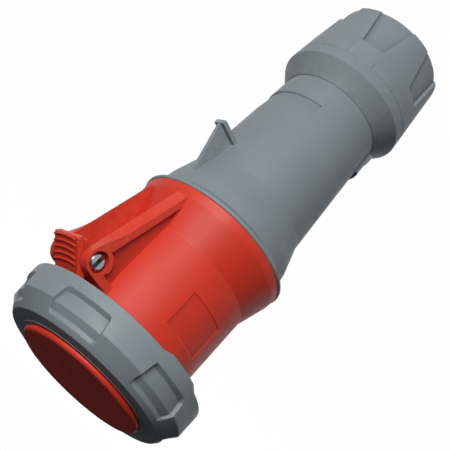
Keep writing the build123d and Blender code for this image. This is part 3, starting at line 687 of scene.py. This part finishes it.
finished(front_shell, "housing", "red_plastic", "front_housing", "housing_flare")

# %% [markdown]
# Hollows and holes that no column of faces can follow are cut with a tool. It is a closed
# piece of its own, subtracted from the part and then thrown away.

# %% Carving with a tool piece
def carve(piece, tool):
    """Cut a closed tool piece out of another, and remove the tool."""
    cut = piece.modifiers.new("carve", "BOOLEAN")
    cut.operation = "DIFFERENCE"
    cut.solver = "EXACT"
    cut.object = tool
    choose(piece)
    bpy.ops.object.modifier_apply(modifier=cut.name)
    bpy.data.objects.remove(tool)


print("helper ready:", carve.__name__)

# %% [markdown]
# Two ears carry the hinge pin. Each starts as a plate whose straight top runs into the round
# end without a kink, so the slope of the top is worked out from the round end. The top falls
# away to the outside and levels out at the round end: the outer points of the top edge are
# lowered, less and less towards the pin.

# %% Outline of the ears
boss_r = 7.4
ear_foot_y, ear_rear_z, ear_front_z, top_rear_y = 33.1, 176.1, 242.8, 46.4
rise, run = pin_y - top_rear_y, pin_z - ear_rear_z
top_lean = math.atan2(rise, run) + math.asin(boss_r / math.hypot(rise, run))
top_slope = math.tan(top_lean)
top_fall, fall_fades_z, fade_length = 2.8, 214.0, 18.0


def boss_arc(radius, from_deg, to_deg, count):
    """Points round the pin's place; 0 degrees is away from the axis, 90 towards the nut."""
    turns = [math.radians(from_deg + (to_deg - from_deg) * k / count) for k in range(count + 1)]
    return [(pin_y + radius * math.cos(t), pin_z - radius * math.sin(t)) for t in turns]


def drop_of(height):
    """How far the outer edge of an ear's top is below the inner edge, along the ear."""
    share = min(max((height - fall_fades_z) / fade_length, 0.0), 1.0)
    return top_fall * (1 - share * share * (3 - 2 * share))


top_heights = (ear_rear_z, 196, 214, 217, 220, 223, 226, 229, 232)
top_edge = [(top_rear_y + top_slope * (z - ear_rear_z), z) for z in top_heights]
ear_outline = [(ear_foot_y, ear_rear_z), *top_edge,
               *boss_arc(boss_r, math.degrees(top_lean), -90, 16), (ear_foot_y, ear_front_z)]
print("ear outline points", len(ear_outline))

# %% [markdown]
# One tool hollows the ear's outer side down to a thin web, and round ones make the pin's
# hole and, on the right ear, the recess of its head.

# %% Ears
web_hollow, pin_hole_r, recess_r, recess_depth, beyond = 2.8, 2.6, 5.7, 3.4, 20
flange_y = top_rear_y - top_fall - 4.1
hollow_outline = [
    (33.0, 175.0), (flange_y - 1.1 * top_slope, 175.0), (flange_y + top_slope * 51.7, 227.8),
    *boss_arc(8.4, 96, 172, 7), (46.4, 238.2), (33.0, 238.2),
]


def bore_of(name, columns, radius, x_from):
    """A round tool on the pin's line, from an X place to beyond the right ear."""
    stations = [(ON_AXIS, x_from), (radius, x_from), (radius, beyond), (0, beyond)]
    return along_x(name, columns, stations, pin_y, pin_z)


def ear(name, inner, outer):
    """One ear between an inner and an outer X place, which are negative on the left."""
    way = math.copysign(1, outer)
    piece = plate(name, ear_outline, *sorted((inner, outer)))
    edit(piece)
    mesh = bmesh.from_edit_mesh(piece.data)
    for vert in mesh.verts:
        on_top = vert.co.y > 45 * MM and vert.co.z < 233 * MM
        if on_top and abs(vert.co.x - outer * MM) < 0.1 * MM:
            vert.co.y -= drop_of(vert.co.z / MM) * MM
    bmesh.update_edit_mesh(piece.data)
    done()
    hollow_x = sorted((outer - web_hollow * way, outer + way))
    carve(piece, plate("ear_hollow", hollow_outline, *hollow_x))
    carve(piece, bore_of("pin_hole", 48, pin_hole_r, -beyond))
    if way > 0:
        carve(piece, bore_of("head_recess", 64, recess_r, outer - recess_depth))
    soften(piece, 0.35, turn_deg=24)
    return piece


finished(ear("ear_shell_right", 11.8, 18.0), "housing", "red_plastic", "ear_right")
finished(ear("ear_shell_left", -10.8, -16.2), "housing", "red_plastic", "ear_left")

# %% [markdown]
# The pin's head sits deep in its recess. Its rim slopes, so its two halves catch the light
# as bars, and the slot is cut deep enough to stay dark between them.

# %% Hinge pin
pin_r, head_r, head_x, pin_end_x, slot_half = 2.5, 4.75, 14.65, 16.8, 1.2
pin_stations = [
    (ON_AXIS, -16.2), (2.3, -16.2), (pin_r, -16.0), (pin_r, head_x), (head_r, head_x),
    (head_r, 15.8), (3.7, pin_end_x), (0.0, pin_end_x),
]
hinge_rod = along_x("hinge_rod", 64, pin_stations, pin_y, pin_z)
slot_outline = [(pin_y - slot_half, pin_z - 7), (pin_y + slot_half, pin_z - 7),
                (pin_y + slot_half, pin_z + 7), (pin_y - slot_half, pin_z + 7)]
carve(hinge_rod, plate("pin_slot", slot_outline, 12.6, 18.0))
soften(hinge_rod, 0.12, turn_deg=20)
finished(hinge_rod, "housing", "steel", "hinge_pin")

# %% [markdown]
# The handle grows from the gland to the joint. It tapers evenly, so one formula gives its
# radius at any height. The inside is modelled too, because an open lid and a loose gland nut
# show some of it.

# %% Handle
handle_rear_z, handle_rear_r, handle_front_z, handle_front_r = 60.7, 32.1, 139.8, 37.2
handle_grows, handle_taper_length = 5.1, 79.1
line_z, name_field_z = 69.0, 77.7


def grip_r(height):
    """The handle's radius at a height."""
    return handle_rear_r + handle_grows * (height - handle_rear_z) / handle_taper_length


skin_heights = (61.7, 61.9, 64.4, 68.7, line_z, 69.3, 77.0, 77.35, name_field_z, 91.5)
skin = [(grip_r(z) - (0.15 if z == line_z else 0.0), z) for z in skin_heights]
handle_stations = [
    (handle_rear_r, 46.5), (handle_rear_r, handle_rear_z), *skin,
    (handle_front_r, handle_front_z), (42.4, 157.4), (43.4, 165.2), (48.0, 168.7), (48.0, 170.0),
    (joint_r, joint_z), (42.3, joint_z), (42.3, 172.5), (40.7, 172.5), (40.7, 175.7),
    (42.3, 175.7), (42.3, 179.6), (38.4, 179.6), (38.4, 186.0), (35.6, 186.0), (35.6, joint_z),
    (39.0, 167.2), (39.0, 157.4), (33.8, handle_front_z), (28.7, 58.8), (19.5, 52.0),
    (19.5, 46.0), (24.3, 46.0), (24.3, 14.0), (28.0, 14.0), (28.0, 46.5), (handle_rear_r, 46.5),
]
handle_shell = turned("handle_shell", 120, handle_stations)
print(handle_shell.name, "stations", len(handle_stations))

# %% [markdown]
# A field for a name stays bare on the handle's top. Its rear row sinks, and its floor runs
# out to the surface towards the joint. A pad stands out on the underside, and both have
# their outermost columns moved to the foot of the side walls.

# %% Name field and pad
field_middle, pad_middle, sunk = 90, 270, 0.9
# Each row of the pad: its height, and how far it stands out
pad_rows = [(61.9, 3.0), (64.4, 3.0), (68.7, 2.1), (line_z, 1.9), (69.3, 2.0), (77.0, 2.0)]
edit(handle_shell)
pick_round("verts", (30, 40), rows(name_field_z), field_middle, 41)
to_radius(grip_r(name_field_z), grip_r(name_field_z) - sunk)
sunk_range = (30, grip_r(name_field_z) - 0.6)
for side in (1, -1):
    pick_round("verts", sunk_range, rows(name_field_z), field_middle + side * 39, 0.5)
    swing(2.3 * side)
for height, lift in pad_rows:
    pick_round("verts", (30, 40), rows(height), pad_middle, 43)
    to_radius(grip_r(height), grip_r(height) + lift)
pad_range = rows(pad_rows[0][0], pad_rows[-1][0])
for side in (1, -1):
    pick_round("verts", (34, 42), pad_range, pad_middle + side * 42, 0.5)
    swing(2.8 * side)
done()
soften(handle_shell, 0.3)
print("pad rows", len(pad_rows))

# %% [markdown]
# The fin on the handle is a thin web with a cross wall at its end. Both are plates, and they
# become part of the handle.

# %% Fin
fin_foot_y, fin_tip_y, web_half, cross_half = 35.5, 51.1, 1.3, 4.0
web_outline = [(fin_foot_y, handle_front_z), (39.8, 156.0), (42.0, 156.0),
               (fin_tip_y, 126.7), (fin_foot_y, 127.4)]
fin_web = plate("fin_web", web_outline, -web_half, web_half)
soften(fin_web, 0.3, turn_deg=20)
cross_outline = [(fin_foot_y, 128.8), (fin_tip_y, 128.1),
                 (fin_tip_y, 125.3), (fin_foot_y, 126.0)]
fin_cross = plate("fin_cross", cross_outline, -cross_half, cross_half)
soften(fin_cross, 0.35, turn_deg=20)
joined(handle_shell, fin_web, fin_cross)
finished(handle_shell, "housing", "grey_plastic", "rear_housing")

# %% [markdown]
# The gland nut is turned like the handle, with a cone towards it and a bore for the cable.
# Its columns start at the middle of a grip, so that the grips come out even.

# %% Gland nut, turned shape
chamfer_z, grip_end_z, grip_turn = 1.6, 28.0, 50.8
nut_rear_r, nut_grows, nut_taper_length = 36.7, 3.4, 39.9


def nut_r(height):
    """The nut's radius at a height."""
    return nut_rear_r + nut_grows * (height - chamfer_z) / nut_taper_length


nut_stations = [
    (20.0, 0.0), (35.1, 0.0), (nut_r(chamfer_z), chamfer_z), (nut_r(grip_end_z), grip_end_z),
    (nut_r(28.3), 28.3), (40.1, 41.5), (39.75, 41.8), (40.12, 42.1), (40.75, 49.4),
    (32.4, handle_rear_z), (32.4, 46.2), (28.1, 46.2), (28.1, 5.0), (20.0, 5.0), (20.0, 0.0),
]
nut_shell = turned("nut_shell", 120, nut_stations)
edit(nut_shell)
bpy.ops.mesh.select_all(action="SELECT")
swing(grip_turn)
done()
print(nut_shell.name, "grips turned by", grip_turn)

# %% [markdown]
# The nut has six grips. Their side walls slant, so the columns at a grip's edge slide
# outwards towards the rear. The floor's rows then move in, and their outermost columns go to
# the foot of the walls.

# %% Gland nut, grips
grip_repeat, edge_columns = 60, 15.0
# Each row of columns that slides: its height, and the half angle of a grip there
grip_edges = [(28.3, 10.8), (grip_end_z, 10.9), (chamfer_z, 19.1), (0.0, 19.9)]
# Each floor row: its height, the radius it has, the radius it gets, and its half angle
grip_floors = [
    (0.0, 35.1, 34.3, 19.9),
    (chamfer_z, nut_r(chamfer_z), 34.6, 19.1),
    (grip_end_z, nut_r(grip_end_z), 37.0, 10.9),
]
edit(nut_shell)
for height, half in grip_edges:
    slide_columns((34.5, 42.0), rows(height), grip_turn, grip_repeat, edge_columns, half)
for height, r_from, r_to, half in grip_floors:
    had, gets = (r_from - 0.4, r_from + 0.4), (r_to - 0.2, r_to + 0.2)
    pick_round("verts", had, rows(height), grip_turn, half - 0.8, grip_repeat)
    to_radius(r_from, r_to)
    for side in (1, -1):
        border = grip_turn + side * half * 0.8
        pick_round("verts", gets, rows(height), border, 0.6, grip_repeat)
        swing(side * (half * 0.2 - 0.8))
done()
soften(nut_shell, 0.3)
print("grips", 360 // grip_repeat)

# %% [markdown]
# The small ticks near the nut's front edge are cut with bars, all of them joined as one
# tool. The cut makes new faces, so the shading is settled once more.

# %% Gland nut, ticks
tick_count, first_tick_deg, tick_r, tick_z = 14, 12.7, 40.7, 39.1
tick_scale = (2.0, 0.5, 5.2)
tick_bars = []
for number in range(tick_count):
    turn = math.radians(first_tick_deg + number * 360 / tick_count)
    place = (tick_r * math.cos(turn) * MM, tick_r * math.sin(turn) * MM, tick_z * MM)
    bpy.ops.object.select_all(action="DESELECT")
    bpy.ops.mesh.primitive_cube_add(
        size=MM, location=place, rotation=(0, 0, turn), scale=tick_scale)
    tick_bars.append(bpy.context.object)
    bpy.ops.object.transform_apply(location=True, rotation=True, scale=True)
carve(nut_shell, joined(*tick_bars))
settle(nut_shell)
finished(nut_shell, "gland_nut", "grey_plastic", "gland_nut")

# %% [markdown]
# The finishes share three node groups, and these helpers build them. A group hands out only
# masks and heights, so each material keeps its own Principled shader and stays easy to read.

# %% Node helpers
def new_group(name, *outputs):
    """A shader group with a place as its input and plain values as its outputs."""
    tree = bpy.data.node_groups.new(name, "ShaderNodeTree")
    tree.interface.new_socket(name="Place", in_out="INPUT", socket_type="NodeSocketVector")
    for socket_name in outputs:
        tree.interface.new_socket(
            name=socket_name, in_out="OUTPUT", socket_type="NodeSocketFloat")
    place = tree.nodes.new("NodeGroupInput").outputs["Place"]
    return tree, place, tree.nodes.new("NodeGroupOutput").inputs


def noise(tree, place, scale, detail, roughness=0.5):
    """Noise of a given fineness, at a place."""
    node = tree.nodes.new("ShaderNodeTexNoise")
    node.inputs["Scale"].default_value = scale
    node.inputs["Detail"].default_value = detail
    node.inputs["Roughness"].default_value = roughness
    tree.links.new(place, node.inputs["Vector"])
    return node.outputs["Fac"]


def ranged(tree, value, low, high, to_low, to_high):
    """A value moved from one range to another, and held inside it."""
    node = tree.nodes.new("ShaderNodeMapRange")
    limits = {"From Min": low, "From Max": high, "To Min": to_low, "To Max": to_high}
    for socket_name, limit in limits.items():
        node.inputs[socket_name].default_value = limit
    tree.links.new(value, node.inputs["Value"])
    return node.outputs["Result"]


print("helpers ready:", new_group.__name__, noise.__name__, ranged.__name__)

# %% [markdown]
# The first group gives moulded grain and slow changes of tone and gloss. The second finds
# sharp edges, which are painted paler, partly as rubbed wear and partly as painted highlight,
# and inside corners, which are painted darker as painted shade. The third draws
# the fine parallel lines of machined metal: its noise is stretched along one axis.

# %% Shared finish groups
grain_group, place, masks = new_group("moulded_grain", "Height", "Tone", "Gloss")
spark = noise(grain_group, place, 1500.0, 2.0)
swell = combined(grain_group, "MULTIPLY", noise(grain_group, place, 160.0, 3.0), 0.6)
grain_group.links.new(combined(grain_group, "ADD", spark, swell), masks["Height"])
patch = noise(grain_group, place, 26.0, 5.0, 0.62)
grain_group.links.new(ranged(grain_group, patch, 0.3, 0.7, 0.0, 1.0), masks["Tone"])
haze = noise(grain_group, place, 75.0, 4.0, 0.7)
grain_group.links.new(ranged(grain_group, haze, 0.3, 0.7, -0.05, 0.07), masks["Gloss"])

rub_and_painted_light_group, place, masks = new_group("edge_rub_and_painted_light", "Edge", "Corner")
sharpness = rub_and_painted_light_group.nodes.new("ShaderNodeNewGeometry").outputs["Pointiness"]
ridge = ranged(rub_and_painted_light_group, sharpness, 0.515, 0.57, 0.0, 1.0)
ragged = ranged(rub_and_painted_light_group, noise(rub_and_painted_light_group, place, 240.0, 4.0, 0.7), 0.35, 0.62, 0.15, 1.0)
# Edge mask: sharp outer edges, painted paler, partly rubbed wear and partly painted highlight
rub_and_painted_light_group.links.new(combined(rub_and_painted_light_group, "MULTIPLY", ridge, ragged), masks["Edge"])
# Corner mask: inside corners, painted darker as painted shade
rub_and_painted_light_group.links.new(ranged(rub_and_painted_light_group, sharpness, 0.43, 0.49, 1.0, 0.0), masks["Corner"])

lines_group, place, masks = new_group("machined_lines", "Height", "Gloss")
stretch = lines_group.nodes.new("ShaderNodeVectorMath")
stretch.operation = "MULTIPLY"
stretch.inputs[1].default_value = (1.0, 0.06, 1.0)
lines_group.links.new(place, stretch.inputs[0])
streak = noise(lines_group, stretch.outputs["Vector"], 2200.0, 3.0)
lines_group.links.new(streak, masks["Height"])
lines_group.links.new(ranged(lines_group, streak, 0.3, 0.7, -0.07, 0.1), masks["Gloss"])
print("groups", [group.name for group in bpy.data.node_groups])

# %% [markdown]
# Each slot of the record becomes one material. Plastics mix four colours: the moulded one,
# a slightly deeper one in slow patches, a paler one on sharp edges, partly rubbed wear and
# partly painted highlight, and a dark one in inside corners, which is painted shade. The
# colours are the record's, seen in plain light.

# %% Materials
# EDGE_SHARE paints edges paler (rubbed wear and painted highlight); the corner share and
# DARK_METAL paint shade into inside corners
EDGE_SHARE, CORNER_SHADE_SHARE, PLASTIC_SHEEN = 0.55, 0.7, 0.32
GRAIN_MM, LINES_MM = 0.05, 0.03
DULL_METAL, DARK_METAL = 0.78, 0.06


def grouped(tree, source, place):
    """The outputs of a shared group, used at a place."""
    node = tree.nodes.new("ShaderNodeGroup")
    node.node_tree = source
    tree.links.new(place, node.inputs["Place"])
    return node.outputs


def mixed_colour(tree, share, first, second):
    """Two colours, each a tuple or an output, mixed by a share."""
    node = tree.nodes.new("ShaderNodeMix")
    node.data_type = "RGBA"
    for socket, value in ((node.inputs[6], first), (node.inputs[7], second)):
        if isinstance(value, tuple):
            socket.default_value = (*value, 1)
        else:
            tree.links.new(value, socket)
    tree.links.new(share, node.inputs[0])
    return node.outputs[2]


def start_material(name):
    """A new material, its tree, its shader and the place on the object."""
    material = bpy.data.materials.new(name)
    material.use_nodes = True
    tree = material.node_tree
    place = tree.nodes.new("ShaderNodeTexCoord").outputs["Object"]
    return material, tree, tree.nodes["Principled BSDF"], place


def bumped(tree, shader, height, strength, distance_mm):
    """Lead a height to the shader as a bump."""
    bump = tree.nodes.new("ShaderNodeBump")
    bump.inputs["Strength"].default_value = strength
    bump.inputs["Distance"].default_value = distance_mm * MM
    tree.links.new(height, bump.inputs["Height"])
    tree.links.new(bump.outputs["Normal"], shader.inputs["Normal"])


def plastic(name, colour, deep, pale, corner_shade, roughness, grain):
    """A moulded material: its colour, three relatives of it, its roughness and its grain."""
    material, tree, shader, place = start_material(name)
    moulded = grouped(tree, grain_group, place)
    rub_and_painted_light = grouped(tree, rub_and_painted_light_group, place)
    tone = mixed_colour(tree, moulded["Tone"], deep, colour)
    # Sharp edges get the pale colour: partly rubbed wear, partly painted highlight
    rub_and_highlight_share = combined(tree, "MULTIPLY", rub_and_painted_light["Edge"], EDGE_SHARE)
    rubbed_and_highlit = mixed_colour(tree, rub_and_highlight_share, tone, pale)
    # Inside corners get the dark corner colour: painted shade
    painted_shade_share = combined(tree, "MULTIPLY", rub_and_painted_light["Corner"], CORNER_SHADE_SHARE)
    with_painted_shade = mixed_colour(tree, painted_shade_share, rubbed_and_highlit, corner_shade)
    tree.links.new(with_painted_shade, shader.inputs["Base Color"])
    dullness = combined(tree, "ADD", moulded["Gloss"], roughness)
    tree.links.new(dullness, shader.inputs["Roughness"])
    shader.inputs["Specular IOR Level"].default_value = PLASTIC_SHEEN
    bumped(tree, shader, moulded["Height"], grain, GRAIN_MM)
    return material


def metal(name, colour, roughness, strength):
    """A machined material: its colour, its roughness and the strength of its lines."""
    material, tree, shader, place = start_material(name)
    machined = grouped(tree, lines_group, place)
    moulded = grouped(tree, grain_group, place)
    rub_and_painted_light = grouped(tree, rub_and_painted_light_group, place)
    dull = tuple(DULL_METAL * part for part in colour)
    dark = tuple(DARK_METAL * part for part in colour)
    tone = mixed_colour(tree, moulded["Tone"], dull, colour)
    # Inside corners take the dark colour: painted shade
    shaded_metal_colour = mixed_colour(tree, rub_and_painted_light["Corner"], tone, dark)
    tree.links.new(shaded_metal_colour, shader.inputs["Base Color"])
    shader.inputs["Metallic"].default_value = 1.0
    dullness = combined(tree, "ADD", machined["Gloss"], roughness)
    tree.links.new(dullness, shader.inputs["Roughness"])
    bumped(tree, shader, machined["Height"], strength, LINES_MM)
    return material


print("helpers ready:", plastic.__name__, metal.__name__)

# %% [markdown]
# The six finishes go on every CAD node that still shows and on every new piece. A new piece
# carries the name of its finish from the cell that finished it.

# %% Finishes
# In each plastic the pale colour is partly rubbed wear and partly painted highlight, and the
# corner colour is painted shade
finishes = {
    "red_plastic": plastic(
        "red_plastic", colour=(0.64, 0.038, 0.018), deep=(0.58, 0.032, 0.014),
        pale=(0.74, 0.10, 0.06), corner_shade=(0.26, 0.012, 0.006), roughness=0.46, grain=0.25),
    "grey_plastic": plastic(
        "grey_plastic", colour=(0.21, 0.25, 0.277), deep=(0.19, 0.228, 0.254),
        pale=(0.33, 0.37, 0.39), corner_shade=(0.07, 0.085, 0.095), roughness=0.48, grain=0.25),
    "black_plastic": plastic(
        "black_plastic", colour=(0.022, 0.022, 0.024), deep=(0.016, 0.016, 0.018),
        pale=(0.06, 0.06, 0.062), corner_shade=(0.012, 0.012, 0.012), roughness=0.5, grain=0.4),
    "black_rubber": plastic(
        "black_rubber", colour=(0.018, 0.018, 0.018), deep=(0.012, 0.012, 0.013),
        pale=(0.035, 0.035, 0.035), corner_shade=(0.01, 0.01, 0.01), roughness=0.8, grain=0.8),
    "steel": metal("steel", colour=(0.40, 0.45, 0.48), roughness=0.36, strength=0.3),
    "brass": metal("brass", colour=(0.72, 0.50, 0.21), roughness=0.3, strength=0.3),
}
for row in frame["record"]["subparts"]:
    node = frame["nodes"][row["node"]]
    node.data.materials.clear()
    node.data.materials.append(finishes[row["material_slot"]])
for piece in bpy.data.objects:
    if "finish" in piece:
        piece.data.materials.clear()
        piece.data.materials.append(finishes[piece["finish"]])
print("materials", sorted(finishes))
